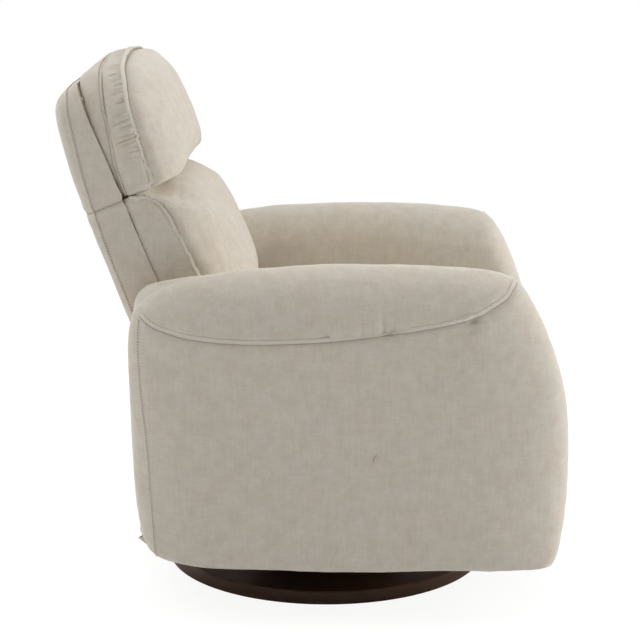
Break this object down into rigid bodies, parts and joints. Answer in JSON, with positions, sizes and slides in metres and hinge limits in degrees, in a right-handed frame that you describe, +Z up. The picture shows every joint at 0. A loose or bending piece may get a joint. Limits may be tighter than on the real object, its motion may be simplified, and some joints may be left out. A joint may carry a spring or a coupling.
{
  "type": "swivel glider recliner",
  "caption": "Upholstered recliner on a round wooden swivel base, with swing-link glide, reclining back and fold-out scissor footrest.",
  "frame": {"origin": "on the floor at the swivel axis, in the underside of the round base", "axes": "+Z up, -Y the way the chair faces, +X towards the occupant's left arm"},
  "size_m": [0.86, 0.9241, 1.0069],
  "materials": {
    "wood_base": "stained and lacquered",
    "frame_wood": "raw plywood and hardwood",
    "upholstery": "cream chenille over foam",
    "webbing": "woven elastic webbing",
    "black_steel": "black powder coat",
    "zinc_steel": "zinc plated",
    "nylon": "black nylon",
    "release_plastic": "brown moulded plastic"
  },
  "bodies": {
    "base": {"base_disc": "wood_base", "floor_pads": "nylon", "swivel_lower_race": "zinc_steel", "race_screws": "zinc_steel", "pivot_bolt": "zinc_steel", "pivot_nut": "zinc_steel"},
    "swivel": {"swivel_bearing": "nylon", "swivel_upper_race": "zinc_steel", "stand_rail_front": "black_steel", "stand_rail_rear": "black_steel", "glide_stand_left": "black_steel", "glide_stand_right": "black_steel", "upper_link_pins": "zinc_steel"},
    "front_links": {"front_swing_links": "black_steel"},
    "rear_links": {"rear_swing_links": "black_steel"},
    "carriage": {"lower_link_pins": "zinc_steel", "glide_rail_left": "black_steel", "glide_rail_right": "black_steel", "cross_rail_front": "frame_wood", "cross_rail_rear": "frame_wood", "rear_board": "frame_wood", "arm_board_left": "frame_wood", "arm_board_right": "frame_wood", "seat_track_left": "black_steel", "seat_track_right": "black_steel", "arm_left": "upholstery", "arm_right": "upholstery", "tub_rear_panel": "upholstery", "release_bezel": "release_plastic"},
    "seat": {"seat_side_left": "black_steel", "seat_side_right": "black_steel", "seat_runners": "nylon", "seat_rail_front": "frame_wood", "seat_rail_rear": "frame_wood", "torque_tube": "black_steel", "seat_webbing": "webbing", "seat_cushion": "upholstery"},
    "back": {"back_brackets": "black_steel", "back_post_left": "frame_wood", "back_post_right": "frame_wood", "back_rail_low": "frame_wood", "back_rail_middle": "frame_wood", "back_rail_top": "frame_wood", "back_webbing": "webbing", "back_shell": "upholstery", "lumbar_cushion": "upholstery", "head_pillow": "upholstery"},
    "bar_a": {"footrest_bar_a": "black_steel"},
    "bar_c": {"footrest_bar_c": "black_steel"},
    "bar_d": {"footrest_bar_d": "black_steel"},
    "bar_e": {"footrest_bar_e": "black_steel"},
    "tilt_link": {"footrest_tilt_link": "black_steel"},
    "footrest": {"footrest_brackets": "black_steel", "footrest_board": "frame_wood", "footrest_pad": "upholstery"},
    "lever": {"release_lever": "release_plastic"}
  },
  "joints": [
    {"name": "swivel", "type": "hinge", "parent": "base", "child": "swivel", "pos_m": [0, 0, 0.03], "axis": [0, 0, 1], "continuous": true},
    {"name": "glide", "type": "hinge", "parent": "swivel", "child": "front_links", "pos_m": [0, -0.11, 0.262], "axis": [1, 0, 0], "range_deg": [-20, 20]},
    {"name": "glide_rear", "type": "hinge", "parent": "swivel", "child": "rear_links", "pos_m": [0, 0.11, 0.262], "axis": [1, 0, 0], "range_deg": [-20, 20]},
    {"name": "glide_carriage", "type": "hinge", "parent": "front_links", "child": "carriage", "pos_m": [0, -0.11, 0.122], "axis": [1, 0, 0], "range_deg": [-20, 20]},
    {"name": "recline", "type": "hinge", "parent": "seat", "child": "back", "pos_m": [0, 0.2, 0.4], "axis": [-1, 0, 0], "range_deg": [0, 35]},
    {"name": "seat_slide", "type": "slide", "parent": "carriage", "child": "seat", "axis": [0, -1, 0], "range_m": [0, 0.12]},
    {"name": "footrest_extend", "type": "hinge", "parent": "seat", "child": "bar_a", "pos_m": [0, -0.322, 0.362], "axis": [-1, 0, 0], "range_deg": [0, 68]},
    {"name": "footrest_cross", "type": "hinge", "parent": "bar_a", "child": "bar_c", "pos_m": [0, -0.33936, 0.26352], "axis": [-1, 0, 0], "range_deg": [-136, 0]},
    {"name": "footrest_outer", "type": "hinge", "parent": "bar_a", "child": "bar_d", "pos_m": [0, -0.35673, 0.16504], "axis": [-1, 0, 0], "range_deg": [-136, 0]},
    {"name": "footrest_outer_cross", "type": "hinge", "parent": "bar_d", "child": "bar_e", "pos_m": [0, -0.37409, 0.26352], "axis": [-1, 0, 0], "range_deg": [0, 136]},
    {"name": "footrest_tilt", "type": "hinge", "parent": "bar_d", "child": "footrest", "pos_m": [0, -0.39146, 0.362], "axis": [-1, 0, 0], "range_deg": [0, 162]},
    {"name": "footrest_tilt_drive", "type": "hinge", "parent": "bar_e", "child": "tilt_link", "pos_m": [0, -0.38712, 0.18966], "axis": [-1, 0, 0], "range_deg": [-134.11, 0]},
    {"name": "release_pull", "type": "hinge", "parent": "carriage", "child": "lever", "pos_m": [-0.262, -0.33, 0.534], "axis": [1, 0, 0], "range_deg": [0, 25], "stiffness_Nm_per_rad": 0.6, "springref_deg": -5.73}
  ],
  "couplings": [
    {"joint": "glide_rear", "follows": "glide", "ratio": 1},
    {"joint": "glide_carriage", "follows": "glide", "ratio": -1},
    {"joint": "seat_slide", "follows": "recline", "m_per_rad": 0.19644},
    {"joint": "footrest_cross", "follows": "footrest_extend", "ratio": -2},
    {"joint": "footrest_outer", "follows": "footrest_extend", "ratio": -2},
    {"joint": "footrest_outer_cross", "follows": "footrest_extend", "ratio": 2},
    {"joint": "footrest_tilt", "follows": "footrest_extend", "ratio": 2.3824},
    {"joint": "footrest_tilt_drive", "follows": "footrest_extend", "ratio": -1.9721}
  ]
}
